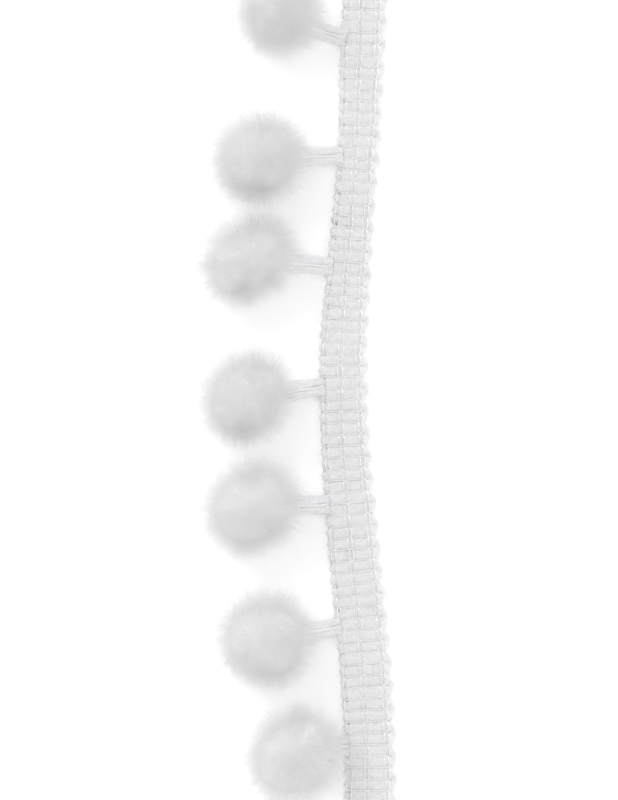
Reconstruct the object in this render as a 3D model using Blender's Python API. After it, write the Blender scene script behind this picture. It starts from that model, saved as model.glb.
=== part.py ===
"""A cut length of pompom fringe trim, laid out flat in a gentle S-curve.

A narrow crochet-knit tape lies on its flat back. Seven clipped yarn pompoms lie
beside its left edge, each on a hanging loop of two yarn bundles.
Metres, +Z up, +Y along the tape, +X to the side away from the pompoms. The origin
is the middle of the trim's box, on the surface that it lies on.
"""

import math
import random
from collections import namedtuple

import bmesh
import bpy
import numpy as np
from mathutils import Matrix, Vector

MM = 0.001
SEED = 7

# Gap that is kept between neighbouring pieces
SEAT_GAP = 0.3 * MM

# Tape: one course of stitches repeats along it
COURSE_PITCH = 2.44 * MM
COURSES = 73
ROWS_PER_COURSE = 3
RIB_TOP = 2.0 * MM
RIB_VALLEY = 1.35 * MM
RIB_SHOULDER = 0.72
RIB_INNER = 0.28
CHAIN_GROOVE = 1.15 * MM
CHAIN_STITCH = 0.65 * MM

# Edge loops: the weft turns at each edge, once in two courses
COURSES_PER_LOOP = 2
EDGE_MARGIN = 0.7 * MM
LOOP_REACH = 1.2 * MM
EDGE_MIDDLE = 0.9 * MM
EDGE_TOP_LOW = 1.2 * MM
EDGE_TOP_HIGH = 1.55 * MM
EDGE_UNDERCUT = 0.35 * MM

# Where the tape lies: a row for each bend, from its far end to its near end.
# along and across place the middle chain, and chains is the distance between chains.
TapeRow = namedtuple("TapeRow", "along across chains")
TAPE_ROWS = [
    TapeRow(90.3 * MM, 11.5 * MM, 3.5 * MM),
    TapeRow(72.2 * MM, 10.7 * MM, 3.5 * MM),
    TapeRow(53.0 * MM, 9.9 * MM, 3.1 * MM),
    TapeRow(32.0 * MM, 8.3 * MM, 3.4 * MM),
    TapeRow(10.6 * MM, 6.7 * MM, 3.8 * MM),
    TapeRow(-10.6 * MM, 7.2 * MM, 4.0 * MM),
    TapeRow(-30.0 * MM, 8.7 * MM, 4.3 * MM),
    TapeRow(-51.0 * MM, 10.8 * MM, 4.3 * MM),
    TapeRow(-72.0 * MM, 12.2 * MM, 4.3 * MM),
    TapeRow(-88.2 * MM, 12.3 * MM, 4.35 * MM),
]

# Pompoms, from the far end to the near end. root is where the hanging loop leaves
# the tape, along it. flat presses the ball in across the direction press, in degrees.
Pompom = namedtuple("Pompom", "across along radius root flat press")
POMPOMS = [
    Pompom(-6.6 * MM, 81.8 * MM, 9.8 * MM, 76.9 * MM, 0.03, 90),
    Pompom(-10.8 * MM, 51.0 * MM, 10.1 * MM, 51.6 * MM, 0.03, 60),
    Pompom(-12.5 * MM, 29.7 * MM, 10.3 * MM, 28.0 * MM, 0.06, 130),
    Pompom(-13.2 * MM, 0.0 * MM, 10.5 * MM, 2.8 * MM, 0.02, 0),
    Pompom(-12.1 * MM, -22.7 * MM, 10.8 * MM, -21.9 * MM, 0.03, 35),
    Pompom(-9.1 * MM, -51.4 * MM, 10.8 * MM, -47.8 * MM, 0.02, 120),
    Pompom(-3.0 * MM, -74.4 * MM, 10.6 * MM, -73.3 * MM, 0.03, 45),
]

# Locks of cut yarn, as shares of the pompom's radius
REST_HEIGHT = 0.93
CORE_SHARE = 0.74
SHOULDER_SHARE = 0.93
TIP_SHARE = 1.0
TIP_TAPER = 0.62
LOCK_UNEVEN = 0.035
CELL_UNEVEN = 0.07
LOCK_PARTING = 0.3 * MM
MIDDLE_CELL = math.radians(15)
STEM_CELL_DIP = math.radians(22.5)

# Hanging loops: two yarn bundles side by side, bent up from the tape to the pompom
BUNDLE_WIDTH = 2.0 * MM
BUNDLE_SLIT = 0.4 * MM
STEM_HEIGHT = 1.1 * MM
STEM_CLEAR = 2.9 * MM
STEM_BEND = 0.15
LEG_POINTS = 6
TURN_POINTS = 5

# Finishes
TAPE_COLOUR = (0.83, 0.83, 0.84)
POMPOM_COLOUR = (0.80, 0.80, 0.82)
STEM_COLOUR = (0.80, 0.80, 0.81)
CREASE_ANGLE = math.radians(50)


def make_material(name, colour, roughness):
    """A matt yarn finish."""
    made = bpy.data.materials.new(name)
    made.use_nodes = True
    shader = made.node_tree.nodes["Principled BSDF"]
    shader.inputs["Base Color"].default_value = (*colour, 1.0)
    shader.inputs["Roughness"].default_value = roughness
    shader.inputs["Metallic"].default_value = 0.0
    return made


def make_object(name, bm, centre=(0.0, 0.0, 0.0)):
    """An object from a finished mesh, placed by its location."""
    mesh = bpy.data.meshes.new(name)
    bm.to_mesh(mesh)
    bm.free()
    mesh.shade_smooth()
    mesh.set_sharp_from_angle(angle=CREASE_ANGLE)
    made = bpy.data.objects.new(name, mesh)
    made.location = centre
    return made


def tape_value(along, column):
    """One column of TAPE_ROWS at a place along the tape, on a smooth curve through its rows."""
    rows = TAPE_ROWS[::-1]
    places = [row.along for row in rows]
    values = [getattr(row, column) for row in rows]
    slopes = np.gradient(values, places)
    k = int(np.clip(np.searchsorted(places, along) - 1, 0, len(places) - 2))
    span = places[k + 1] - places[k]
    t = (along - places[k]) / span
    leaving = values[k] * (1 + 2 * t) + slopes[k] * span * t
    reaching = values[k + 1] * (3 - 2 * t) + slopes[k + 1] * span * (t - 1)
    return leaving * (1 - t) ** 2 + reaching * t ** 2


def tape_frame(along):
    """The middle chain's point in plan, and the direction across the tape there."""
    middle = Vector((tape_value(along, "across"), along))
    ahead = tape_value(along + MM, "across") - tape_value(along - MM, "across")
    return middle, Vector((2 * MM, -ahead)).normalized()


def near_stem(along):
    """1 where a hanging loop leaves the tape, falling to 0 over the next course."""
    nearest = min(abs(along - pompom.root) for pompom in POMPOMS)
    return min(max((STEM_CLEAR + COURSE_PITCH - nearest) / COURSE_PITCH, 0.0), 1.0)


def edge_reach(side, along, course):
    """How far the tape reaches past its outer chain: -1 is the pompoms' side, which skips their stems."""
    turn = (course + (side > 0)) / COURSES_PER_LOOP
    loop = LOOP_REACH * abs(math.sin(math.pi * turn))
    if side < 0:
        loop *= 1 - near_stem(along)
    return EDGE_MARGIN + loop


def tape_section(along, course):
    """(place across, height) of one row's points, from the left underside over the top to the right."""
    chains = tape_value(along, "chains")
    swell = math.sin(math.pi * (course % 1.0))
    rib = RIB_VALLEY + (RIB_TOP - RIB_VALLEY) * swell
    chain = CHAIN_GROOVE + CHAIN_STITCH * (1 - swell)
    edge = EDGE_TOP_LOW + (EDGE_TOP_HIGH - EDGE_TOP_LOW) * swell
    left = chains + edge_reach(-1, along, course)
    right = chains + edge_reach(1, along, course)
    return [
        (EDGE_UNDERCUT - left, 0.0),
        (-left, EDGE_MIDDLE),
        (-0.5 * (left + chains), edge),
        (-chains, chain),
        (-RIB_SHOULDER * chains, rib),
        (-RIB_INNER * chains, rib),
        (0.0, chain),
        (RIB_INNER * chains, rib),
        (RIB_SHOULDER * chains, rib),
        (chains, chain),
        (0.5 * (right + chains), edge),
        (right, EDGE_MIDDLE),
        (right - EDGE_UNDERCUT, 0.0),
    ]


def make_tape():
    """The knit tape: a grid raised in ribs and chain stitches, closed by a flat underside."""
    rows = COURSES * ROWS_PER_COURSE + 1
    columns = len(tape_section(0.0, 0.0))
    bm = bmesh.new()
    bmesh.ops.create_grid(bm, x_segments=columns - 1, y_segments=rows - 1, size=1.0)
    bm.verts.ensure_lookup_table()
    for row in range(rows):
        course = row / ROWS_PER_COURSE
        along = TAPE_ROWS[0].along - course * COURSE_PITCH
        middle, across = tape_frame(along)
        for column, (place, height) in enumerate(tape_section(along, course)):
            point = middle + across * place
            bm.verts[row * columns + column].co = (point.x, point.y, height)
    left = [bm.verts[row * columns] for row in range(rows)]
    right = [bm.verts[row * columns + columns - 1] for row in range(rows)]
    for row in range(rows - 1):
        bm.faces.new((left[row], right[row], right[row + 1], left[row + 1]))
    for first in (0, (rows - 1) * columns):
        bm.faces.new([bm.verts[first + column] for column in range(columns)])
    bmesh.ops.recalc_face_normals(bm, faces=bm.faces)
    return make_object("tape", bm)


def pompom_centre(pompom):
    """The ball's middle: it rests on its lowest locks, which are shorter."""
    return Vector((pompom.across, pompom.along, REST_HEIGHT * pompom.radius))


def root_point(pompom):
    """Where the hanging loop starts, clear of the tape's left edge however it slants."""
    middle, across = tape_frame(pompom.root)
    edge = middle - across * (tape_value(pompom.root, "chains") + EDGE_MARGIN + SEAT_GAP)
    run = (pompom_centre(pompom).xy - edge).normalized()
    slant = abs(run.cross(across))
    point = edge - across * (slant * (BUNDLE_WIDTH + 0.5 * BUNDLE_SLIT))
    return Vector((point.x, point.y, STEM_HEIGHT))


def bend_point(pompom):
    """Where the hanging loop, level at first, turns up towards the pompom's middle."""
    root = root_point(pompom)
    ahead = pompom_centre(pompom) - root
    return root + Vector((ahead.x, ahead.y, 0.0)) * STEM_BEND


def stem_direction(pompom):
    """From the pompom's middle towards the hanging loop's bend."""
    return (bend_point(pompom) - pompom_centre(pompom)).normalized()


def make_cells():
    """A box cut into 42 four-sided cells, each the root of one lock: 9 on top and below, 6 a side."""
    bm = bmesh.new()
    bmesh.ops.create_cube(bm, size=2.0)
    third = math.tan(MIDDLE_CELL)
    for normal, places in (((1, 0, 0), (-third, third)), ((0, 1, 0), (-third, third)), ((0, 0, 1), (0.0,))):
        for place in places:
            everything = bm.verts[:] + bm.edges[:] + bm.faces[:]
            bmesh.ops.bisect_plane(bm, geom=everything, plane_co=Vector(normal) * place, plane_no=normal)
    return bm


def middle_of(face):
    return face.calc_center_median().normalized()


def raise_locks(bm, cells, share, taper, rng):
    """Draws each cell out to about a share of the radius, its end drawn in to a taper of its width."""
    raised = bmesh.ops.extrude_discrete_faces(bm, faces=cells)["faces"]
    for face in raised:
        middle = middle_of(face)
        length = share * (1 - rng.uniform(0, LOCK_UNEVEN))
        for vert in face.verts:
            vert.co = middle.lerp(vert.co.normalized(), taper).normalized() * length
    return raised


def make_pompom(name, pompom, rng):
    """A tufted ball: locks fan out of a round core, and stand apart but for their roots."""
    bm = make_cells()
    for vert in bm.verts:
        shift = Vector([rng.uniform(-CELL_UNEVEN, CELL_UNEVEN) for _ in range(3)])
        vert.co = (vert.co.normalized() + shift).normalized() * CORE_SHARE
    towards_stem = Vector((math.cos(STEM_CELL_DIP), 0.0, -math.sin(STEM_CELL_DIP)))
    bare = max(bm.faces, key=lambda face: middle_of(face).dot(towards_stem))
    cells = [face for face in bm.faces if face != bare]
    bmesh.ops.inset_individual(bm, faces=cells, thickness=LOCK_PARTING / pompom.radius)
    shoulders = raise_locks(bm, cells, SHOULDER_SHARE, 1.0, rng)
    raise_locks(bm, shoulders, TIP_SHARE, TIP_TAPER, rng)
    rest_pompom(bm, pompom)
    return make_object(name, bm, pompom_centre(pompom))


def rest_pompom(bm, pompom):
    """Turns the bare cell to the hanging loop, presses the ball a little and rests it level."""
    towards = stem_direction(pompom)
    turn = Matrix.Rotation(math.atan2(towards.y, towards.x), 3, "Z")
    dip = Matrix.Rotation(-math.asin(towards.z) - STEM_CELL_DIP, 3, "Y")
    angle = math.radians(pompom.press)
    press = Vector((math.cos(angle), math.sin(angle), 0.0))
    surface = -REST_HEIGHT * pompom.radius
    for vert in bm.verts:
        point = turn @ dip @ (vert.co * pompom.radius)
        point -= press * (point.dot(press) * pompom.flat)
        point.z = max(point.z, surface)
        vert.co = point


def stem_route(pompom):
    """The hanging loop's route: out from the tape, round close to the pompom's core, and back."""
    root = root_point(pompom)
    bend = bend_point(pompom)
    inward = -stem_direction(pompom)
    side = Vector((0.0, 0.0, 1.0)).cross(inward).normalized()
    apart = 0.5 * (BUNDLE_WIDTH + BUNDLE_SLIT)
    core = CORE_SHARE * pompom.radius + SEAT_GAP
    end = pompom_centre(pompom) - inward * (core + 0.5 * BUNDLE_WIDTH + apart)
    middle = []
    for k in range(LEG_POINTS):
        t = k / LEG_POINTS
        middle.append(root.lerp(bend, t).lerp(bend.lerp(end, t), t))
    turn = []
    for k in range(TURN_POINTS):
        angle = math.pi * k / (TURN_POINTS - 1)
        turn.append(end + (inward * math.sin(angle) - side * math.cos(angle)) * apart)
    out = [point - side * apart for point in middle]
    back = [point + side * apart for point in reversed(middle)]
    return out + turn + back


def make_stem(name, pompom):
    """The hanging loop: a four-sided bundle of yarn on its route."""
    curve = bpy.data.curves.new(name, "CURVE")
    curve.dimensions = "3D"
    curve.bevel_depth = BUNDLE_WIDTH / math.sqrt(2)
    curve.bevel_resolution = 0
    curve.use_fill_caps = True
    route = stem_route(pompom)
    spline = curve.splines.new("POLY")
    spline.points.add(len(route) - 1)
    for point, place in zip(spline.points, route):
        point.co = (*place, 1.0)
        point.tilt = math.radians(45)
    return bpy.data.objects.new(name, curve)


def box_middle(meshes):
    """The middle of the trim's box in plan. The stems lie inside it."""
    places = [piece.location.xy + vert.co.xy for piece in meshes for vert in piece.data.vertices]
    low = Vector((min(place.x for place in places), min(place.y for place in places)))
    high = Vector((max(place.x for place in places), max(place.y for place in places)))
    return (low + high) / 2


def main():
    for old in list(bpy.data.objects):
        bpy.data.objects.remove(old, do_unlink=True)
    rng = random.Random(SEED)
    tape = make_tape()
    pompoms = [make_pompom(f"pompom_{k}", row, rng) for k, row in enumerate(POMPOMS, start=1)]
    stems = [make_stem(f"stem_{k}", row) for k, row in enumerate(POMPOMS, start=1)]

    trim = bpy.data.objects.new("trim_frame", None)
    middle = box_middle([tape, *pompoms])
    trim.location = (-middle.x, -middle.y, 0.0)
    collection = bpy.data.collections.new("pompom_fringe_trim")
    bpy.context.scene.collection.children.link(collection)
    collection.objects.link(trim)

    finishes = (
        (make_material("tape_yarn", TAPE_COLOUR, 0.85), [tape]),
        (make_material("pompom_yarn", POMPOM_COLOUR, 0.95), pompoms),
        (make_material("stem_yarn", STEM_COLOUR, 0.9), stems),
    )
    for finish, pieces in finishes:
        for piece in pieces:
            piece.data.materials.append(finish)
            piece.parent = trim
            collection.objects.link(piece)


if __name__ == "__main__":
    main()
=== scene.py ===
"""Pompom fringe trim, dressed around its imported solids.

Laid out as an add-on: property groups hold the sizes and colours, an operator makes each
kind of piece, one more makes the stage, and a panel lists them. main() runs them in order.
Metres, +Z up, +Y along the tape, +X to the side away from the pompoms.
"""

import math
import random
from collections import namedtuple

import bmesh
import bpy
import numpy as np
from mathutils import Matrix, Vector, noise


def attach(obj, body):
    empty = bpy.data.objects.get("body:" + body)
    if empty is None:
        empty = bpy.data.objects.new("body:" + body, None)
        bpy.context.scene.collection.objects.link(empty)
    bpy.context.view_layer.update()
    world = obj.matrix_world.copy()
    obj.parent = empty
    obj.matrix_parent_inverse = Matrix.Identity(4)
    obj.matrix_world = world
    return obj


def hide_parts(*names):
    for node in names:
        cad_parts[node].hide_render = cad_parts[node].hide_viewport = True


bl_info = {
    "name": "Pompom Fringe Trim",
    "version": (1, 0, 0),
    "blender": (4, 5, 0),
    "location": "3D View > Sidebar > Trim",
    "description": "Makes the yarns, threads and pile of a length of pompom fringe trim",
    "category": "Object",
}

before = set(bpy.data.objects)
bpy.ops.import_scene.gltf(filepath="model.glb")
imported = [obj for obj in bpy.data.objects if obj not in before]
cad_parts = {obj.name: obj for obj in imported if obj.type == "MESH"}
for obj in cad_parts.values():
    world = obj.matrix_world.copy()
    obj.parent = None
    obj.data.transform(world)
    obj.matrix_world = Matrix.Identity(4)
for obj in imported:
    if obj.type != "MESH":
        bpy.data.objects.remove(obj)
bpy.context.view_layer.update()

MM = 0.001
BODY = "root"

# The picture's frame: its size in pixels, what one pixel measures on the trim, and
# where its middle lies in the row frame
PICTURE_SIZE = (618, 800)
PIXEL = 0.2125 * MM
PICTURE_MIDDLE = Vector((2.2889, -1.6470, 0.0)) * MM

# Tape: one course of stitches repeats along it
COURSE_PITCH = 2.44 * MM
COURSES = 73
LEFT_CHAIN = 0.86

# Where the tape lies: a row for each bend, from its far end to its near end.
# along and across place the middle chain, and chains is the distance between chains.
TapeRow = namedtuple("TapeRow", "along across chains")
TAPE_ROWS = [
    TapeRow(90.3 * MM, 11.5 * MM, 3.5 * MM),
    TapeRow(72.2 * MM, 10.7 * MM, 3.5 * MM),
    TapeRow(53.0 * MM, 9.9 * MM, 3.1 * MM),
    TapeRow(32.0 * MM, 8.3 * MM, 3.4 * MM),
    TapeRow(10.6 * MM, 6.7 * MM, 3.8 * MM),
    TapeRow(-10.6 * MM, 7.2 * MM, 4.0 * MM),
    TapeRow(-30.0 * MM, 8.7 * MM, 4.3 * MM),
    TapeRow(-51.0 * MM, 10.8 * MM, 4.3 * MM),
    TapeRow(-72.0 * MM, 12.2 * MM, 4.3 * MM),
    TapeRow(-88.2 * MM, 12.3 * MM, 4.35 * MM),
]

# Pompoms, from the far end to the near end. root is where the hanging loop leaves
# the tape, along it. swell says how much farther than its radius the ball reaches, in
# eighths of a turn that start at +X and go towards +Y.
Pompom = namedtuple("Pompom", "across along radius root swell")
POMPOMS = [
    Pompom(-6.6 * MM, 81.8 * MM, 9.8 * MM, 76.9 * MM, (0.0, 0.0, 0.0, -0.6, -1.4, -0.9, -0.4, -0.5)),
    Pompom(-10.8 * MM, 51.0 * MM, 10.1 * MM, 51.6 * MM, (0.6, 0.9, -0.3, -0.1, 0.2, 0.1, -0.4, 0.4)),
    Pompom(-12.5 * MM, 29.7 * MM, 10.3 * MM, 28.0 * MM, (0.3, 1.0, -0.8, -1.0, 0.4, 1.5, -0.9, -1.5)),
    Pompom(-13.2 * MM, 0.0 * MM, 10.5 * MM, 2.8 * MM, (-0.6, 1.1, 0.0, -0.2, -0.2, 0.2, -1.5, -0.9)),
    Pompom(-12.1 * MM, -22.7 * MM, 10.8 * MM, -21.9 * MM, (0.6, 0.9, -0.9, -0.5, 0.5, 0.5, 0.0, -0.6)),
    Pompom(-9.1 * MM, -51.4 * MM, 10.8 * MM, -47.8 * MM, (-0.2, 1.0, 0.7, 0.8, 0.5, -0.9, -0.9, 0.0)),
    Pompom(-3.0 * MM, -74.4 * MM, 10.6 * MM, -73.3 * MM, (0.6, 0.8, -1.0, -0.8, 0.3, 1.8, 1.2, 1.0)),
]
REST_HEIGHT = 0.93

# Hanging loops: two yarn bundles side by side, bent up from the tape to the pompom
BUNDLE_WIDTH = 2.0 * MM
BUNDLE_SLIT = 0.4 * MM
STEM_HEIGHT = 1.1 * MM
STEM_BEND = 0.15
EDGE_MARGIN = 0.7 * MM
SEAT_GAP = 0.3 * MM
STRAND_RING = 0.6 * MM
BUNDLE_LAP = 0.35 * MM
THREAD_RISE = 1.03 * MM
THREAD_APART = 0.09 * MM
THREAD_STRAY = 0.08 * MM

# The lowest yarn lies this high above the surface
GROUND = 0.03 * MM

# Weft yarn: points in a rib and in a turn, and how far a turn's middle goes past the chain
RIB_POINTS = 28
TURN_POINTS = 13
TURN_REACH = {-1: 0.05 * MM, 1: 1.2 * MM}
TURN_SLIM = {-1: 0.34, 1: 0.4}
TURN_WAIST = {-1: 0.05, 1: 0.22}
TURN_CORNER = {-1: 0.5, 1: 0.85}
PINCH_WIDTH = 0.5 * MM
RIB_WANDER = 0.06 * MM

# Chain stitch: half its outline, as shares of the course pitch along it, then across and up
StitchPoint = namedtuple("StitchPoint", "run side height")
STITCH = [
    StitchPoint(-0.66, 0.06 * MM, 1.44 * MM),
    StitchPoint(-0.50, 0.24 * MM, 1.66 * MM),
    StitchPoint(-0.28, 0.42 * MM, 1.79 * MM),
    StitchPoint(-0.06, 0.50 * MM, 1.92 * MM),
    StitchPoint(0.14, 0.51 * MM, 1.96 * MM),
    StitchPoint(0.32, 0.46 * MM, 1.92 * MM),
    StitchPoint(0.45, 0.34 * MM, 1.84 * MM),
    StitchPoint(0.53, 0.18 * MM, 1.78 * MM),
    StitchPoint(0.56, 0.0 * MM, 1.76 * MM),
]

# How far each chain stands up, or sinks into the weft: left, middle and right
CHAIN_LIFT = {-1: -0.48 * MM, 0: -0.33 * MM, 1: -0.35 * MM}

# Cross thread: it lies in the valleys between the ribs
VALLEY_POINTS = 14
VALLEY_HEIGHT = 1.51 * MM
VALLEY_DIP = 0.04 * MM
VALLEY_WANDER = 0.08 * MM


# Node trees

class Socket:
    """An output socket that takes part in sums. A sum adds the Math or Vector Math nodes it needs."""

    def __init__(self, graph, source):
        self.graph = graph
        self.source = source

    def other(self, name):
        """Another output of the same node."""
        return Socket(self.graph, self.source.node.outputs[name])

    def __add__(self, value):
        return self.graph.sum("ADD", self, value)

    def __radd__(self, value):
        return self.graph.sum("ADD", value, self)

    def __sub__(self, value):
        return self.graph.sum("SUBTRACT", self, value)

    def __rsub__(self, value):
        return self.graph.sum("SUBTRACT", value, self)

    def __mul__(self, value):
        return self.graph.sum("MULTIPLY", self, value)

    def __rmul__(self, value):
        return self.graph.sum("MULTIPLY", value, self)


class Graph:
    """A node tree under construction."""

    def __init__(self, tree):
        self.tree = tree

    def node(self, kind, settings=None, values=None):
        """Adds a node: its settings first, then its sockets' values or links. Gives its first output."""
        made = self.tree.nodes.new(kind)
        for name, setting in (settings or {}).items():
            if name == "stops":
                self.set_stops(made.color_ramp, setting)
            else:
                setattr(made, name, setting)
        for name, value in (values or {}).items():
            self.feed(made.inputs[name], value)
        shown = [output for output in made.outputs if output.enabled]
        return Socket(self, shown[0]) if shown else None

    def feed(self, socket, value):
        """Links a socket to another one's output, or gives it a value."""
        if isinstance(value, Socket):
            self.tree.links.new(value.source, socket)
        elif socket.type == "RGBA" and len(value) == 3:
            socket.default_value = (*value, 1.0)
        elif socket.type == "VECTOR" and isinstance(value, (int, float)):
            socket.default_value = (value, value, value)
        else:
            socket.default_value = value

    def set_stops(self, ramp, stops):
        """A ramp's stops: (place, grey level) pairs."""
        while len(ramp.elements) < len(stops):
            ramp.elements.new(1.0)
        for element, (place, grey) in zip(ramp.elements, stops):
            element.position = place
            element.color = (grey, grey, grey, 1.0)

    def sum(self, operation, *terms):
        """One step of a sum, on vectors where any of its terms is one."""
        vector = any(
            isinstance(term, (tuple, Vector)) or (isinstance(term, Socket) and term.source.type == "VECTOR")
            for term in terms
        )
        kind = "ShaderNodeVectorMath" if vector else "ShaderNodeMath"
        return self.node(kind, {"operation": operation}, dict(enumerate(terms)))


class ShapeGraph(Graph):
    """A Geometry Nodes tree with named inputs, which ends in Realize Instances and Set Material."""

    def __init__(self, name, sizes):
        super().__init__(bpy.data.node_groups.new(name, "GeometryNodeTree"))
        self.keys = {}
        self.ask("Geometry", "Geometry")
        for label, kind in sizes.items():
            self.ask(label, kind)
        self.ask("Material", "Material")
        self.tree.interface.new_socket("Geometry", in_out="OUTPUT", socket_type="NodeSocketGeometry")
        self.group = self.tree.nodes.new("NodeGroupInput")

    def ask(self, label, kind):
        """Adds a named input."""
        made = self.tree.interface.new_socket(label, in_out="INPUT", socket_type=f"NodeSocket{kind}")
        self.keys[label] = made.identifier

    def given(self, label):
        """A named input's socket."""
        return Socket(self, self.group.outputs[label])

    def store(self, geometry, name, value, kind="FLOAT", domain="POINT"):
        """Keeps a value as a named attribute, for later nodes or for the material."""
        settings = {"data_type": kind, "domain": domain}
        values = {"Geometry": geometry, "Name": name, "Value": value}
        return self.node("GeometryNodeStoreNamedAttribute", settings, values)

    def stored(self, name, kind="FLOAT"):
        """Reads a named attribute."""
        return self.node("GeometryNodeInputNamedAttribute", {"data_type": kind}, {"Name": name})

    def random(self, low, high, seed, kind="FLOAT"):
        """A seeded random number or vector for each element."""
        first = {"FLOAT_VECTOR": 0, "FLOAT": 2}[kind]
        values = {first: low, first + 1: high, "Seed": seed}
        return self.node("FunctionNodeRandomValue", {"data_type": kind}, values)

    def noise(self, place, scale=1.0, detail=2.0):
        """Smooth noise, near 0.5."""
        values = {"Vector": place, "Scale": scale, "Detail": detail}
        return self.node("ShaderNodeTexNoise", None, values)

    def position(self):
        return self.node("GeometryNodeInputPosition")

    def vector(self, x, y, z):
        return self.node("ShaderNodeCombineXYZ", None, {"X": x, "Y": y, "Z": z})

    def squared(self, offset, power):
        """How much farther a round section's point lies when the section is squared. A power of 2 leaves it round."""
        away = self.node("ShaderNodeVectorMath", {"operation": "NORMALIZE"}, {0: offset})
        up = self.node("ShaderNodeSeparateXYZ", None, {"Vector": away}).other("Z")
        steep = self.sum("POWER", self.sum("ABSOLUTE", up), power)
        level = self.sum("POWER", 1.0 - up * up, power * 0.5)
        return self.sum("POWER", steep + level, self.sum("DIVIDE", -1.0, power))

    def above_ground(self, geometry):
        """Lifts what lies lower than the ground up to it."""
        parts = self.node("ShaderNodeSeparateXYZ", None, {"Vector": self.position()})
        height = self.sum("MAXIMUM", parts.other("Z"), self.given("Ground"))
        level = self.vector(parts.other("X"), parts.other("Y"), height)
        return self.node("GeometryNodeSetPosition", None, {"Geometry": geometry, "Position": level})

    def end(self, geometry):
        """Closes the tree."""
        real = self.node("GeometryNodeRealizeInstances", None, {"Geometry": geometry})
        smooth = self.node("GeometryNodeSetShadeSmooth", None, {"Geometry": real})
        values = {"Geometry": smooth, "Material": self.given("Material")}
        done = self.node("GeometryNodeSetMaterial", None, values)
        out = self.tree.nodes.new("NodeGroupOutput")
        self.tree.links.new(done.source, out.inputs["Geometry"])


def yarn_tree():
    """Yarn on a path: a tube as thick as the path's radius, flattened in height, with filament ridges."""
    sizes = {
        "Sides": "Int",
        "Height Share": "Float",
        "Squareness": "Float",
        "Lumps": "Float",
        "Lumps per Metre": "Float",
        "Ridges": "Float",
        "Ridge Depth": "Float",
        "Ground": "Float",
    }
    g = ShapeGraph("yarn on a path", sizes)
    path = g.store(g.given("Geometry"), "centre", g.position(), "FLOAT_VECTOR")
    path = g.store(path, "run", g.node("GeometryNodeSplineParameter").other("Length"))
    values = {"Resolution": g.given("Sides"), "Radius": 1.0}
    circle = g.node("GeometryNodeCurvePrimitiveCircle", None, values)
    circle = g.store(circle, "around", g.position(), "FLOAT_VECTOR")
    values = {
        "Curve": path,
        "Profile Curve": circle,
        "Scale": g.node("GeometryNodeInputRadius"),
        "Fill Caps": True,
    }
    tube = g.node("GeometryNodeCurveToMesh", None, values)
    centre = g.stored("centre", "FLOAT_VECTOR")
    strands = g.stored("around", "FLOAT_VECTOR") * g.given("Ridges")
    strands = strands + g.vector(0.0, 0.0, g.stored("run") * RIDGE_DRIFT)
    ridge = (g.noise(strands, detail=0.0) - 0.5) * g.given("Ridge Depth")
    lump = (g.noise(g.position(), g.given("Lumps per Metre")) - 0.5) * g.given("Lumps")
    offset = g.position() - centre
    offset = offset * g.squared(offset, g.given("Squareness")) * g.vector(1.0, 1.0, g.given("Height Share"))
    placed = centre + offset * (1.0 + ridge + lump)
    tube = g.node("GeometryNodeSetPosition", None, {"Geometry": tube, "Position": placed})
    g.end(g.above_ground(tube))
    return g


def pile_tree():
    """Pile on a surface: thin spikes with a random lean and length, and the surface itself where it is kept."""
    sizes = {
        "Keep Surface": "Bool",
        "Fibres per Square Metre": "Float",
        "Thickness": "Float",
        "Shortest": "Float",
        "Longest": "Float",
        "Rarity of Long": "Float",
        "Lean": "Float",
        "Tuft": "Float",
        "Tufts per Metre": "Float",
        "Seed": "Int",
        "Ground": "Float",
    }
    g = ShapeGraph("pile on a surface", sizes)
    seed = g.given("Seed")
    values = {"Mesh": g.given("Geometry"), "Density": g.given("Fibres per Square Metre"), "Seed": seed}
    points = g.node("GeometryNodeDistributePointsOnFaces", None, values)
    values = {
        "Vertices": 3,
        "Side Segments": 1,
        "Radius Top": 0.0,
        "Radius Bottom": g.given("Thickness") * 0.5,
        "Depth": 1.0,
    }
    spike = g.node("GeometryNodeMeshCone", {"fill_type": "NONE"}, values)
    parts = g.node("ShaderNodeSeparateXYZ", None, {"Vector": g.position()})
    # Painted light: each fibre's share of the lighter pile white, from its foot outwards; the kept surface has none
    # and keeps the body white
    spike = g.store(spike, "tip", PAINTED_FOOT_LIGHTNESS + parts.other("Z") * (1.0 - PAINTED_FOOT_LIGHTNESS))
    lean = g.random((-1.0, -1.0, -1.0), (1.0, 1.0, 1.0), seed + 1, "FLOAT_VECTOR") * g.given("Lean")
    lean = g.node("FunctionNodeEulerToRotation", None, {"Euler": lean})
    values = {"Rotation": points.other("Rotation"), "Rotate By": lean}
    turn = g.node("FunctionNodeRotateRotation", {"rotation_space": "LOCAL"}, values)
    share = g.sum("POWER", g.random(0.0, 1.0, seed + 2), g.given("Rarity of Long"))
    tuft = (g.noise(g.position(), g.given("Tufts per Metre")) - 0.5) * g.given("Tuft")
    length = g.given("Shortest") + (g.given("Longest") - g.given("Shortest")) * share + tuft
    values = {"Points": points, "Instance": spike, "Rotation": turn, "Scale": g.vector(1.0, 1.0, length)}
    fibres = g.node("GeometryNodeInstanceOnPoints", None, values)
    fibres = g.store(fibres, "tint", g.random(0.0, 1.0, seed + 3), domain="INSTANCE")
    fibres = g.node("GeometryNodeRealizeInstances", None, {"Geometry": fibres})
    values = {"Switch": g.given("Keep Surface"), "True": g.given("Geometry")}
    kept = g.node("GeometryNodeSwitch", {"input_type": "GEOMETRY"}, values)
    both = g.node("GeometryNodeJoinGeometry", None, {"Geometry": fibres})
    g.feed(both.source.node.inputs["Geometry"], kept)
    g.end(g.above_ground(both))
    return g


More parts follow.
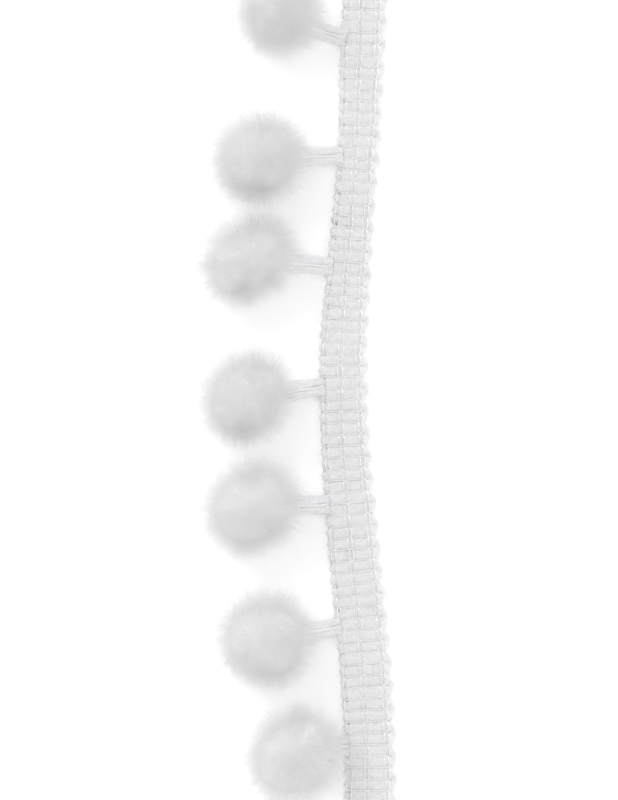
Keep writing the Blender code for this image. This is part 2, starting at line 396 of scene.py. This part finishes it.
def stitch_tree():
    """Stitches on a path: one at each of its points, turned along it and a little uneven."""
    sizes = {
        "Stitch": "Object",
        "Wobble": "Float",
        "Seed": "Int",
    }
    g = ShapeGraph("stitches on a path", sizes)
    seed = g.given("Seed")
    values = {"Curve": g.given("Geometry")}
    points = g.node("GeometryNodeCurveToPoints", {"mode": "EVALUATED"}, values)
    stitch = g.node("GeometryNodeObjectInfo", None, {"Object": g.given("Stitch"), "As Instance": True})
    settings = {"axis": "Y", "pivot_axis": "Z"}
    along = g.node("FunctionNodeAlignRotationToVector", settings, {"Vector": points.other("Tangent")})
    tilt = g.random((-1.0, -1.0, -1.0), (1.0, 1.0, 1.0), seed, "FLOAT_VECTOR") * g.given("Wobble")
    tilt = g.node("FunctionNodeEulerToRotation", None, {"Euler": tilt})
    values = {"Rotation": along, "Rotate By": tilt}
    turn = g.node("FunctionNodeRotateRotation", {"rotation_space": "LOCAL"}, values)
    size = g.random((0.88, 0.97, 0.96), (1.12, 1.03, 1.04), seed + 1, "FLOAT_VECTOR")
    values = {
        "Points": points,
        "Instance": stitch.other("Geometry"),
        "Rotation": turn,
        "Scale": size,
    }
    g.end(g.node("GeometryNodeInstanceOnPoints", None, values))
    return g


RIDGE_DRIFT = 180.0
# Painted light on the pile: the lighter white that fibres get and the packed heart lacks, and how light a fibre's
# foot is painted against its outer end, a painted shade deep in the pile that 1.0 leaves out
PILE_PAINTED_LIGHT = (0.995, 0.995, 1.0)
PAINTED_FOOT_LIGHTNESS = 1.0
LIGHT_THROUGH = 0.0


# Materials

class FinishGraph(Graph):
    """A material under construction, on its Principled shader."""

    def __init__(self, name, sockets):
        self.material = bpy.data.materials.new(name)
        self.material.use_nodes = True
        super().__init__(self.material.node_tree)
        self.shader = self.tree.nodes["Principled BSDF"]
        for label, value in sockets.items():
            self.feed(self.shader.inputs[label], value)

    def attribute(self, name, output="Vector"):
        """A named attribute of the piece."""
        return self.node("ShaderNodeAttribute", {"attribute_name": name}).other(output)

    def noise(self, place, scale, detail=2.0):
        values = {"Vector": place, "Scale": scale, "Detail": detail}
        return self.node("ShaderNodeTexNoise", None, values)

    def ramp(self, value, *stops):
        return self.node("ShaderNodeValToRGB", {"stops": stops}, {"Fac": value})

    def blend(self, share, first, second):
        """A colour between two."""
        made = self.node("ShaderNodeMix", {"data_type": "RGBA"}, {0: share, 6: first, 7: second})
        return Socket(self, made.source.node.outputs[2])

    def place(self):
        return self.node("ShaderNodeTexCoord").other("Object")

    def let_through(self, colour, share):
        """Lets a share of the light pass through the surface."""
        values = {0: share, 1: Socket(self, self.shader.outputs[0])}
        values[2] = self.node("ShaderNodeBsdfTranslucent", None, {"Color": colour})
        both = self.node("ShaderNodeMixShader", None, values)
        self.tree.links.new(both.source, self.tree.nodes["Material Output"].inputs["Surface"])

    def bump(self, height, depth):
        values = {"Height": height, "Distance": depth, "Strength": 1.0}
        self.feed(self.shader.inputs["Normal"], self.node("ShaderNodeBump", None, values))


def shade_of(colour, share):
    """A darker shade of a colour."""
    return tuple(part * share for part in colour[:3])


def yarn_finish(name, colour, filaments, depth, roughness=0.9, sheen=0.8):
    """Matt yarn: fine filaments along it, and soft patches where the fibres lie closer."""
    sockets = {"Roughness": roughness, "Sheen Weight": sheen, "Sheen Roughness": 0.6, "Specular IOR Level": 0.3}
    g = FinishGraph(name, sockets)
    run = g.node("ShaderNodeCombineXYZ", None, {"X": 0.0, "Y": 0.0, "Z": g.attribute("run", "Fac") * 900.0})
    strands = g.noise(g.attribute("around") * filaments + run, 1.0, 3.0)
    patch = g.noise(g.place(), 1300.0)
    share = g.ramp(strands * 0.4 + patch * 0.6, (0.38, 0.0), (0.58, 1.0))
    g.feed(g.shader.inputs["Base Color"], g.blend(share, shade_of(colour, 0.9), shade_of(colour, 1.0)))
    g.bump(strands * 0.5 + patch, depth)
    return g.material


def thread_finish(name, colour):
    """Lustrous filament thread."""
    sockets = {"Specular IOR Level": 1.0, "Metallic": 0.25, "Coat Weight": 0.6, "Coat Roughness": 0.12}
    g = FinishGraph(name, sockets)
    run = g.node("ShaderNodeCombineXYZ", None, {"X": 0.0, "Y": 0.0, "Z": g.attribute("run", "Fac") * 700.0})
    strands = g.noise(g.attribute("around") * 2.5 + run, 1.0, 2.0)
    g.feed(g.shader.inputs["Base Color"], g.blend(strands, shade_of(colour, 0.97), shade_of(colour, 1.0)))
    g.feed(g.shader.inputs["Roughness"], 0.1 + strands * 0.15)
    g.bump(strands, 0.008 * MM)
    return g.material


def pile_finish(name, colour):
    """Cut pile: each fibre is a slightly different white, in soft patches. The fibres carry a painted light, a
    lighter white than the packed heart, and their feet can be painted darker as a painted shade.
    """
    sockets = {"Roughness": 0.9, "Specular IOR Level": 0.2}
    g = FinishGraph(name, sockets)
    patch = g.noise(g.place(), 260.0, 3.0)
    share = g.attribute("tint", "Fac") * 0.5 + g.ramp(patch, (0.3, 0.0), (0.7, 0.5))
    body = g.blend(share, shade_of(colour, 0.94), shade_of(colour, 1.0))
    # Painted light: fibres take the lighter pile white, the packed heart keeps the body white
    tint = g.blend(g.attribute("tip", "Fac"), body, PILE_PAINTED_LIGHT)
    g.feed(g.shader.inputs["Base Color"], tint)
    g.let_through(tint, LIGHT_THROUGH)
    return g.material


# Guides and finished pieces

def guide(name, splines):
    """A path object: each spline is a list of (place, radius, tilt)."""
    curve = bpy.data.curves.new(name, "CURVE")
    curve.dimensions = "3D"
    for rows in splines:
        spline = curve.splines.new("POLY")
        spline.points.add(len(rows) - 1)
        for point, (place, radius, tilt) in zip(spline.points, rows):
            point.co = (*place, 1.0)
            point.radius = radius
            point.tilt = tilt
    made = bpy.data.objects.new(name, curve)
    bpy.context.scene.collection.objects.link(made)
    return made


def grow(name, source, graph, values):
    """Runs a tree on a guide, keeps the result as a plain mesh and takes the guide away."""
    modifier = source.modifiers.new("grow", "NODES")
    modifier.node_group = graph.tree
    for label, value in values.items():
        modifier[graph.keys[label]] = value
    bpy.context.view_layer.update()
    depsgraph = bpy.context.evaluated_depsgraph_get()
    mesh = bpy.data.meshes.new_from_object(source.evaluated_get(depsgraph), depsgraph=depsgraph)
    if not mesh or not mesh.polygons:
        raise RuntimeError(f"{name}: the node tree made no faces")
    mesh.name = name
    source.modifiers.remove(modifier)
    bpy.data.objects.remove(source, do_unlink=True)
    made = bpy.data.objects.new(name, mesh)
    bpy.context.scene.collection.objects.link(made)
    return made


def finish_piece(piece, slot, *nodes):
    """Puts a piece on the trim's body and hides the solids it stands for; the finish's slot is not used."""
    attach(piece, BODY)
    if nodes:
        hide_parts(*nodes)


# Where things lie

def tape_value(along, column):
    """One column of TAPE_ROWS at a place along the tape, on a smooth curve through its rows."""
    rows = TAPE_ROWS[::-1]
    places = [row.along for row in rows]
    values = [getattr(row, column) for row in rows]
    slopes = np.gradient(values, places)
    k = int(np.clip(np.searchsorted(places, along) - 1, 0, len(places) - 2))
    span = places[k + 1] - places[k]
    t = (along - places[k]) / span
    leaving = values[k] * (1 + 2 * t) + slopes[k] * span * t
    reaching = values[k + 1] * (3 - 2 * t) + slopes[k + 1] * span * (t - 1)
    return float(leaving * (1 - t) ** 2 + reaching * t ** 2)


def tape_frame(along):
    """The middle chain's point in plan, and the direction across the tape there."""
    middle = Vector((tape_value(along, "across"), along))
    ahead = tape_value(along + MM, "across") - tape_value(along - MM, "across")
    return middle, Vector((2 * MM, -ahead)).normalized()


def course_along(course):
    """The place along the tape of a course, counted from the far end."""
    return TAPE_ROWS[0].along - course * COURSE_PITCH


def on_tape(course, across, height):
    """A point of the tape, in the row frame."""
    middle, sideways = tape_frame(course_along(course))
    point = middle + sideways * across
    return Vector((point.x, point.y, height)) + PICTURE_MIDDLE


def chain_across(course, chain):
    """How far the left (-1), middle (0) or right (1) chain lies from the middle one."""
    share = LEFT_CHAIN if chain < 0 else 1.0
    return chain * share * tape_value(course_along(course), "chains")


def pompom_centre(pompom):
    """The ball's middle, in the row frame."""
    return Vector((pompom.across, pompom.along, REST_HEIGHT * pompom.radius)) + PICTURE_MIDDLE


def root_point(pompom):
    """Where the hanging loop's solid starts, clear of the tape's left edge however it slants."""
    middle, across = tape_frame(pompom.root)
    edge = middle - across * (tape_value(pompom.root, "chains") + EDGE_MARGIN + SEAT_GAP)
    run = ((pompom_centre(pompom) - PICTURE_MIDDLE).xy - edge).normalized()
    slant = abs(run.cross(across))
    point = edge - across * (slant * (BUNDLE_WIDTH + 0.5 * BUNDLE_SLIT))
    return Vector((point.x, point.y, STEM_HEIGHT)) + PICTURE_MIDDLE


def bend_point(pompom):
    """Where the hanging loop, level at first, turns up towards the pompom's middle."""
    root = root_point(pompom)
    ahead = pompom_centre(pompom) - root
    return root + Vector((ahead.x, ahead.y, 0.0)) * STEM_BEND


# Tape

def weft_rows(tape):
    """The weft's path: it runs across the three chains, turns at the edge and comes back."""
    full = 0.5 * tape.rib_width
    rows = []
    for course in range(COURSES):
        side = 1 if course % 2 else -1
        start = chain_across(course + 0.5, -side)
        stop = chain_across(course + 0.5, side)
        fatness = 1 + 0.06 * noise.noise((course * 0.83, 3.7, 0.0))
        steps = [(course + 0.5, start + (stop - start) * k / RIB_POINTS, 0.0) for k in range(RIB_POINTS)]
        if course < COURSES - 1:
            reach = TURN_REACH[side] * (1 + 0.25 * noise.noise((course * 1.7, side * 9.1, 5.0)))
            for k in range(TURN_POINTS):
                angle = math.pi * k / TURN_POINTS
                across = stop + side * reach * math.sin(angle)
                corner = math.copysign(abs(math.cos(angle)) ** TURN_CORNER[side], math.cos(angle))
                waist = 0.5 * (1 - TURN_WAIST[side] * math.sin(angle))
                steps.append((course + 1 - waist * corner, across, math.sin(angle)))
        for place, across, turning in steps:
            gap = min(abs(across - chain) for chain in (start, 0.0, stop))
            pinch = tape.pinch * math.exp(-((gap / PINCH_WIDTH) ** 2))
            radius = full * fatness * (1 - max(pinch, TURN_SLIM[side] * turning))
            wander = RIB_WANDER * noise.noise((course * 2.3, across * 260, 1.0)) * (1 - turning)
            height = GROUND + tape.rib_height / tape.rib_width * radius
            rows.append((on_tape(place + wander / COURSE_PITCH, across, height), radius, 0.0))
    return rows


def make_weft(tape, finish):
    values = {
        "Sides": tape.weft_sides,
        "Height Share": tape.rib_height / tape.rib_width,
        "Squareness": 7.0,
        "Lumps": 0.08,
        "Lumps per Metre": 900.0,
        "Ridges": 1.4,
        "Ridge Depth": 0.08,
        "Ground": GROUND,
        "Material": finish,
    }
    return grow("tape_weft", guide("weft_path", [weft_rows(tape)]), yarn_tree(), values)


def stitch_shape(tape):
    """One chain stitch: a teardrop of thread, standing on its place along +Y."""
    half = [Vector((point.side, point.run * COURSE_PITCH, point.height)) for point in STITCH]
    back = [Vector((-point.x, point.y, point.z)) for point in reversed(half[:-1])]
    rows = [(place, 0.5 * tape.thread_thickness, 0.0) for place in half + back]
    values = {
        "Sides": 6,
        "Height Share": 1.0,
        "Squareness": 2.0,
        "Lumps": 0.0,
        "Lumps per Metre": 1.0,
        "Ridges": 1.0,
        "Ridge Depth": 0.0,
        "Ground": 0.0,
    }
    made = grow("stitch", guide("stitch_path", [rows]), yarn_tree(), values)
    made.hide_render = True
    return made


def make_chains(tape, finish):
    """The three pillar chains."""
    splines = []
    for chain in (-1, 0, 1):
        rows = []
        for course in range(COURSES):
            sway = 0.08 * MM * noise.noise((course * 0.9, chain * 5, 2))
            across = chain_across(course + 0.5, chain) + sway
            rows.append((on_tape(course + 0.5, across, CHAIN_LIFT[chain]), 1.0, 0.0))
        splines.append(rows)
    stitch = stitch_shape(tape)
    values = {"Stitch": stitch, "Wobble": 0.06, "Seed": 5, "Material": finish}
    made = grow("tape_chains", guide("chain_paths", splines), stitch_tree(), values)
    bpy.data.objects.remove(stitch, do_unlink=True)
    return made


def cross_rows(tape):
    """The cross thread's path: it lies in each valley and turns under the outer chains."""
    rows = []
    for course in range(1, COURSES):
        side = 1 if course % 2 else -1
        start = chain_across(course, -side)
        stop = chain_across(course, side)
        for k in range(VALLEY_POINTS + 1):
            share = 2 * k / VALLEY_POINTS - 1
            dip = math.cos(math.pi * share) ** 2 * VALLEY_DIP
            stray = noise.noise_vector((course * 1.9, share * 2.4, 8.0)) * VALLEY_WANDER
            height = VALLEY_HEIGHT - dip + stray.z
            place = course + stray.y / COURSE_PITCH
            across = start + (stop - start) * k / VALLEY_POINTS
            rows.append((on_tape(place, across, height), 0.5 * tape.cross_thickness, 0.0))
        turn = on_tape(course + 0.5, stop + side * 0.3 * MM, 0.9 * MM)
        rows.append((turn, 0.5 * tape.cross_thickness, 0.0))
    return rows


def make_cross_thread(tape, finish):
    values = {
        "Sides": 5,
        "Height Share": 1.0,
        "Squareness": 2.0,
        "Lumps": 0.0,
        "Lumps per Metre": 1.0,
        "Ridges": 1.0,
        "Ridge Depth": 0.0,
        "Ground": GROUND,
        "Material": finish,
    }
    return grow("tape_cross_thread", guide("cross_path", [cross_rows(tape)]), yarn_tree(), values)


def surface_area(mesh):
    return sum(face.area for face in mesh.polygons)


def make_fuzz(name, surface, count, tape, finish):
    """Stray fibres that stand out of a yarn."""
    source = bpy.data.objects.new("fuzz_surface", surface)
    bpy.context.scene.collection.objects.link(source)
    values = {
        "Keep Surface": False,
        "Fibres per Square Metre": count / surface_area(surface),
        "Thickness": tape.fuzz_thickness,
        "Shortest": 0.2 * MM,
        "Longest": tape.fuzz_length,
        "Rarity of Long": 2.2,
        "Lean": 1.3,
        "Tuft": 0.3 * MM,
        "Tufts per Metre": 300.0,
        "Seed": 11,
        "Ground": GROUND,
        "Material": finish,
    }
    return grow(name, source, pile_tree(), values)


# Hanging loops

def loop_middle(pompom, count):
    """The middle line of a hanging loop, from inside the tape's edge to the pompom's heart."""
    root = root_point(pompom)
    bend = bend_point(pompom)
    heart = pompom_centre(pompom)
    middle, across = tape_frame(pompom.root)
    start = middle - across * (tape_value(pompom.root, "chains") - 0.3 * MM)
    start = Vector((start.x, start.y, 0.85 * STEM_HEIGHT)) + PICTURE_MIDDLE
    end = bend.lerp(heart, 0.55)
    points = []
    for k in range(count):
        t = k / (count - 1)
        first = start.lerp(root, t).lerp(root.lerp(bend, t), t)
        second = root.lerp(bend, t).lerp(bend.lerp(end, t), t)
        points.append(first.lerp(second, t))
    return points


def strand_splines(loops, pompom, number):
    """The strands of both bundles, laid round each bundle's middle with a slight twist."""
    middle = loop_middle(pompom, loops.points)
    inward = (middle[-1] - middle[0]).normalized()
    side = Vector((0.0, 0.0, 1.0)).cross(inward).normalized()
    up = inward.cross(side)
    apart = 0.5 * (BUNDLE_WIDTH + BUNDLE_SLIT) - BUNDLE_LAP
    splines = []
    for bundle in (-1, 1):
        for strand in range(loops.strands):
            ring = 0.0 if strand == 0 else STRAND_RING
            start = strand * 2 * math.pi / (loops.strands - 1) + number
            rows = []
            for k, place in enumerate(middle):
                t = k / (loops.points - 1)
                angle = start + loops.twist * t * bundle
                stray = noise.noise_vector((strand * 3.1, t * 2.2, number * 5.3 + bundle)) * 0.07 * MM
                lay = side * (bundle * apart + ring * math.cos(angle) + stray.x) + up * (ring * math.sin(angle) + stray.y)
                rows.append((place + lay, 0.5 * loops.strand_thickness, 0.0))
            splines.append(rows)
    return splines


def make_loop(loops, pompom, number, finish):
    values = {
        "Sides": 7,
        "Height Share": 1.0,
        "Squareness": 2.0,
        "Lumps": 0.1,
        "Lumps per Metre": 1200.0,
        "Ridges": 1.0,
        "Ridge Depth": 0.1,
        "Ground": GROUND,
        "Material": finish,
    }
    splines = strand_splines(loops, pompom, number)
    return grow(f"hanging_loop_{number}", guide("strand_paths", splines), yarn_tree(), values)


def make_loop_threads(loops, finish):
    """Shiny threads that run in the slit between the two bundles of each hanging loop."""
    splines = []
    for number, pompom in enumerate(POMPOMS, start=1):
        middle = loop_middle(pompom, loops.points * 2)
        inward = (middle[-1] - middle[0]).normalized()
        side = Vector((0.0, 0.0, 1.0)).cross(inward).normalized()
        for thread in (-1, 1):
            rows = []
            for k, place in enumerate(middle):
                t = k / (len(middle) - 1)
                stray = noise.noise_vector((thread * 4.1, t * 5.0, number * 3.3)) * THREAD_STRAY
                lay = side * (thread * THREAD_APART + stray.x) + Vector((0.0, 0.0, THREAD_RISE + stray.y))
                rows.append((place + lay, 0.5 * loops.thread_thickness, 0.0))
            splines.append(rows)
    values = {
        "Sides": 5,
        "Height Share": 1.0,
        "Squareness": 2.0,
        "Lumps": 0.0,
        "Lumps per Metre": 1.0,
        "Ridges": 1.0,
        "Ridge Depth": 0.0,
        "Ground": GROUND,
        "Material": finish,
    }
    return grow("loop_threads", guide("loop_thread_paths", splines), yarn_tree(), values)


# Pompoms

def swell_towards(pompom, direction):
    """How much farther than its radius a ball reaches in a direction, in millimetres."""
    turn = (math.atan2(direction.y, direction.x) / (0.25 * math.pi)) % 8
    first = int(turn)
    share = 0.5 - 0.5 * math.cos(math.pi * (turn - first))
    level = pompom.swell[first % 8] * (1 - share) + pompom.swell[(first + 1) % 8] * share
    return level * direction.xy.length_squared


def ball_surface(ball, pompom, number):
    """The pompom's packed heart, from which the pile's ends stand out."""
    bm = bmesh.new()
    bmesh.ops.create_icosphere(bm, subdivisions=ball.heart_steps, radius=1.0)
    surface = -REST_HEIGHT * pompom.radius
    for vert in bm.verts:
        lump = noise.noise(vert.co * 1.6 + Vector((number * 7.3, 0.0, 0.0)))
        ripple = noise.noise(vert.co * 5.0 + Vector((0.0, number * 7.3, 0.0)))
        reach = pompom.radius * (ball.heart_share + 0.03 * lump + 0.012 * ripple)
        point = vert.co * (reach + swell_towards(pompom, vert.co) * MM)
        point.z = max(point.z, surface + ball.pile_shortest * 0.5)
        vert.co = point + pompom_centre(pompom)
    mesh = bpy.data.meshes.new("heart")
    bm.to_mesh(mesh)
    bm.free()
    made = bpy.data.objects.new("heart", mesh)
    bpy.context.scene.collection.objects.link(made)
    return made


def make_pompom(ball, pompom, number, finish):
    heart = ball_surface(ball, pompom, number)
    values = {
        "Keep Surface": True,
        "Fibres per Square Metre": ball.fibres / surface_area(heart.data),
        "Thickness": ball.fibre_thickness,
        "Shortest": ball.pile_shortest,
        "Longest": ball.pile_longest,
        "Rarity of Long": ball.rarity,
        "Lean": ball.lean,
        "Tuft": 0.5 * MM,
        "Tufts per Metre": 260.0,
        "Seed": 20 + 10 * number,
        "Ground": GROUND,
        "Material": finish,
    }
    return grow(f"pompom_pile_{number}", heart, pile_tree(), values)


# Settings

def size_setting(label, text, default, **more):
    return bpy.props.FloatProperty(
        name=label, description=text, default=default, min=0.0, precision=5,
        subtype="DISTANCE", unit="LENGTH", **more,
    )


def colour_setting(text, default):
    return bpy.props.FloatVectorProperty(
        name="Colour", description=text, default=default, min=0.0, max=1.0, size=3, subtype="COLOR",
    )


class TrimTape(bpy.types.PropertyGroup):
    """The tape's sizes and colours."""

    rib_width: size_setting("Rib Width", "Width of one puffy weft rib", 2.75 * MM)
    rib_height: size_setting("Rib Height", "Height of a rib between two chains", 1.5 * MM)
    pinch: bpy.props.FloatProperty(
        name="Pinch", description="Share of its width that a rib loses under a chain", default=0.06,
        min=0.0, max=0.8, subtype="FACTOR",
    )
    weft_sides: bpy.props.IntProperty(
        name="Weft Sides", description="Sides of the weft yarn's tube", default=16, min=6, max=24,
    )
    thread_thickness: size_setting("Chain Thread", "Thickness of the chains' thread", 0.3 * MM)
    cross_thickness: size_setting("Cross Thread", "Thickness of the thread in the valleys", 0.3 * MM)
    fuzz_count: bpy.props.IntProperty(
        name="Stray Fibres", description="How many stray fibres stand out of the weft", default=55000, min=0,
    )
    fuzz_thickness: size_setting("Stray Thickness", "Thickness of a stray fibre", 0.038 * MM)
    fuzz_length: size_setting("Stray Length", "Length of the longest stray fibres", 2.7 * MM)
    colour: colour_setting("White of the weft yarn", (0.918, 0.918, 0.93))
    thread_colour: colour_setting("White of the shiny thread", (0.98, 0.98, 0.985))


class TrimLoops(bpy.types.PropertyGroup):
    """The hanging loops' sizes and colours."""

    strands: bpy.props.IntProperty(
        name="Strands", description="Strands in each of a loop's two bundles", default=7, min=3,
    )
    points: bpy.props.IntProperty(
        name="Points", description="Points along each strand", default=15, min=4,
    )
    fuzz_count: bpy.props.IntProperty(
        name="Stray Fibres", description="How many stray fibres stand out of the loops", default=6000, min=0,
    )
    strand_thickness: size_setting("Strand", "Thickness of one strand", 1.3 * MM)
    thread_thickness: size_setting("Thread", "Thickness of the shiny thread in the slit", 0.3 * MM)
    twist: bpy.props.FloatProperty(
        name="Twist", description="Turn of a bundle over its length", default=1.2, subtype="ANGLE",
    )
    # The loops' white is set darker than the tape's and the pompoms', a painted shade for the shade that the pompoms
    # cast on the stems
    colour: colour_setting("White of the loops' yarn", (0.85, 0.85, 0.865))


class TrimPompoms(bpy.types.PropertyGroup):
    """The pompoms' sizes and colours."""

    fibres: bpy.props.IntProperty(
        name="Fibres", description="Fibre ends on each pompom", default=26000, min=0,
    )
    fibre_thickness: size_setting("Fibre", "Thickness of a fibre at its foot", 0.036 * MM)
    pile_shortest: size_setting("Shortest Pile", "Length of the shortest fibre ends", 0.5 * MM)
    pile_longest: size_setting("Longest Pile", "Length of the longest fibre ends", 6.4 * MM)
    rarity: bpy.props.FloatProperty(
        name="Rarity of Long", description="How much rarer long fibre ends are than short ones", default=2.2,
        min=0.1,
    )
    lean: bpy.props.FloatProperty(
        name="Lean", description="How far a fibre may lean", default=0.3, subtype="ANGLE",
    )
    heart_share: bpy.props.FloatProperty(
        name="Heart", description="Packed heart's size as a share of the pompom's", default=0.67,
        min=0.5, max=1.0, subtype="FACTOR",
    )
    heart_steps: bpy.props.IntProperty(
        name="Heart Steps", description="Subdivision of the packed heart's surface", default=4, min=2, max=6,
    )
    colour: colour_setting("White of the pompoms' yarn", (0.965, 0.965, 0.975))


class TrimStage(bpy.types.PropertyGroup):
    """The floor, light and camera."""

    floor_colour: colour_setting("White of the floor", (0.96, 0.96, 0.96))
    floor_glow: bpy.props.FloatProperty(
        name="Floor Glow", description="Strength of the light from under the floor", default=0.20, min=0.0,
    )
    sky: bpy.props.FloatProperty(
        name="Sky", description="Strength of the light from all round", default=0.757, min=0.0,
    )
    sides: bpy.props.FloatProperty(
        name="Sides", description="How much brighter the sides of the sky are than its top", default=2.1, min=0.0,
    )
    sides_fall: bpy.props.FloatProperty(
        name="Sides Fall", description="How fast the sides of the sky fade upwards", default=3.0, min=1.0,
    )
    soft_light: bpy.props.FloatProperty(
        name="Soft Light", description="Strength of the wide light from the upper left", default=0.0, min=0.0,
    )
    glint_light: bpy.props.FloatProperty(
        name="Glint Light", description="Strength of the small light from the upper left", default=0.5, min=0.0,
    )
    light_side: bpy.props.FloatProperty(
        name="Light Side", description="Side that the light comes from", default=math.radians(128), subtype="ANGLE",
    )
    soft_height: bpy.props.FloatProperty(
        name="Soft Height", description="Height of the wide light above the horizon", default=math.radians(24),
        subtype="ANGLE",
    )
    glint_height: bpy.props.FloatProperty(
        name="Glint Height", description="Height of the small light above the horizon", default=math.radians(52),
        subtype="ANGLE",
    )
    lens: bpy.props.FloatProperty(
        name="Lens", description="Focal length", default=400.0, min=1.0, unit="CAMERA",
    )


# Operators

class TRIM_OT_tape(bpy.types.Operator):
    """Make the knit tape: weft, pillar chains, cross thread and stray fibres"""

    bl_idname = "trim.tape"
    bl_label = "Tape"

    def execute(self, context):
        tape = context.scene.trim_tape
        weft_yarn = yarn_finish("weft_yarn", tape.colour, 9.0, 0.10 * MM)
        thread = thread_finish("filament_thread", tape.thread_colour)
        weft = make_weft(tape, weft_yarn)
        finish_piece(weft, "tape_yarn", "tape")
        stray = pile_finish("stray_fibre", tape.colour)
        finish_piece(make_fuzz("tape_fuzz", weft.data.copy(), tape.fuzz_count, tape, stray), "tape_yarn")
        finish_piece(make_chains(tape, thread), "shiny_thread")
        finish_piece(make_cross_thread(tape, thread), "shiny_thread")
        return {"FINISHED"}


class TRIM_OT_loops(bpy.types.Operator):
    """Make the hanging loops and the shiny threads in their slits"""

    bl_idname = "trim.loops"
    bl_label = "Hanging Loops"

    def execute(self, context):
        loops = context.scene.trim_loops
        yarn = yarn_finish("loop_yarn", loops.colour, 4.0, 0.04 * MM)
        bundles = bmesh.new()
        for number, pompom in enumerate(POMPOMS, start=1):
            made = make_loop(loops, pompom, number, yarn)
            bundles.from_mesh(made.data)
            finish_piece(made, "stem_yarn", f"stem_{number}")
        surface = bpy.data.meshes.new("bundles")
        bundles.to_mesh(surface)
        bundles.free()
        stray = pile_finish("loop_stray_fibre", loops.colour)
        finish_piece(make_fuzz("loop_fuzz", surface, loops.fuzz_count, context.scene.trim_tape, stray), "stem_yarn")
        thread = thread_finish("slit_thread", context.scene.trim_tape.thread_colour)
        finish_piece(make_loop_threads(loops, thread), "shiny_thread")
        return {"FINISHED"}


class TRIM_OT_pompoms(bpy.types.Operator):
    """Make the clipped pompoms"""

    bl_idname = "trim.pompoms"
    bl_label = "Pompoms"

    def execute(self, context):
        ball = context.scene.trim_pompoms
        pile = pile_finish("pompom_pile", ball.colour)
        for number, pompom in enumerate(POMPOMS, start=1):
            finish_piece(make_pompom(ball, pompom, number, pile), "pompom_yarn", f"pompom_{number}")
        return {"FINISHED"}


class TRIM_OT_stage(bpy.types.Operator):
    """Make the floor, the soft studio light and the camera straight above"""

    bl_idname = "trim.stage"
    bl_label = "Stage"

    def execute(self, context):
        stage = context.scene.trim_stage
        make_floor(stage)
        make_sky(context.scene, stage)
        add_sun("soft_light", stage.soft_light, 60, stage.light_side, stage.soft_height)
        add_sun("glint_light", stage.glint_light, 20, stage.light_side, stage.glint_height)
        make_camera(context.scene, stage)
        return {"FINISHED"}


def make_floor(stage):
    bpy.ops.mesh.primitive_plane_add(size=3.0, location=(0.0, 0.0, -0.05 * MM))
    floor = bpy.context.object
    floor.name = "floor"
    sockets = {
        "Roughness": 0.9,
        "Specular IOR Level": 0.1,
        "Emission Color": (1.0, 1.0, 1.0),
        "Emission Strength": stage.floor_glow,
    }
    g = FinishGraph("floor", sockets)
    shade = g.noise(g.place(), 3.0)
    g.feed(g.shader.inputs["Base Color"], g.blend(shade, shade_of(stage.floor_colour, 0.99), stage.floor_colour))
    floor.data.materials.append(g.material)
    floor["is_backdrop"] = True


def make_sky(scene, stage):
    world = bpy.data.worlds.new("studio")
    world.use_nodes = True
    g = Graph(world.node_tree)
    background = world.node_tree.nodes["Background"]
    background.inputs["Color"].default_value = (1.0, 1.0, 1.0, 1.0)
    towards = g.node("ShaderNodeTexCoord").other("Generated")
    level = 1.0 - g.sum("ABSOLUTE", g.node("ShaderNodeSeparateXYZ", None, {"Vector": towards}).other("Z"))
    g.feed(background.inputs["Strength"], stage.sky * (g.sum("POWER", level, stage.sides_fall) * stage.sides + 1.0))
    scene.world = world
    scene.view_settings.view_transform = "Standard"


def add_sun(name, strength, spread, side, height):
    """A light far away, on one side and at a height, both as angles."""
    lamp = bpy.data.lights.new(name, "SUN")
    lamp.energy = strength
    lamp.angle = math.radians(spread)
    made = bpy.data.objects.new(name, lamp)
    towards = Vector((math.cos(side) * math.cos(height), math.sin(side) * math.cos(height), math.sin(height)))
    made.rotation_euler = towards.to_track_quat("Z", "Y").to_euler()
    bpy.context.scene.collection.objects.link(made)


def make_camera(scene, stage):
    """The camera looks straight down on the picture's middle."""
    camera = bpy.data.cameras.new("camera")
    camera.lens = stage.lens
    made = bpy.data.objects.new("camera", camera)
    distance = PICTURE_SIZE[1] * PIXEL * stage.lens / camera.sensor_width
    made.location = PICTURE_MIDDLE + Vector((0.0, 0.0, distance))
    camera.clip_end = 3 * distance
    scene.collection.objects.link(made)
    scene.camera = made


class TRIM_PT_panel(bpy.types.Panel):
    """The trim's operators and settings, in the 3D view's sidebar"""

    bl_idname = "TRIM_PT_panel"
    bl_label = "Pompom Fringe Trim"
    bl_space_type = "VIEW_3D"
    bl_region_type = "UI"
    bl_category = "Trim"

    def draw(self, context):
        for operator, group in PANEL_ROWS:
            box = self.layout.box()
            box.operator(operator)
            settings = getattr(context.scene, group)
            for name in settings.__annotations__:
                box.prop(settings, name)


PANEL_ROWS = (
    ("trim.tape", "trim_tape"),
    ("trim.loops", "trim_loops"),
    ("trim.pompoms", "trim_pompoms"),
    ("trim.stage", "trim_stage"),
)
GROUPS = (
    ("trim_tape", TrimTape),
    ("trim_loops", TrimLoops),
    ("trim_pompoms", TrimPompoms),
    ("trim_stage", TrimStage),
)
CLASSES = (
    *(group for _, group in GROUPS),
    TRIM_OT_tape,
    TRIM_OT_loops,
    TRIM_OT_pompoms,
    TRIM_OT_stage,
    TRIM_PT_panel,
)


def register():
    for made in CLASSES:
        bpy.utils.register_class(made)
    for name, group in GROUPS:
        setattr(bpy.types.Scene, name, bpy.props.PointerProperty(type=group))


def unregister():
    for name, _ in GROUPS:
        delattr(bpy.types.Scene, name)
    for made in reversed(CLASSES):
        bpy.utils.unregister_class(made)


def main():
    register()
    bpy.ops.trim.tape()
    bpy.ops.trim.loops()
    bpy.ops.trim.pompoms()
    bpy.ops.trim.stage()


if __name__ == "__main__":
    main()
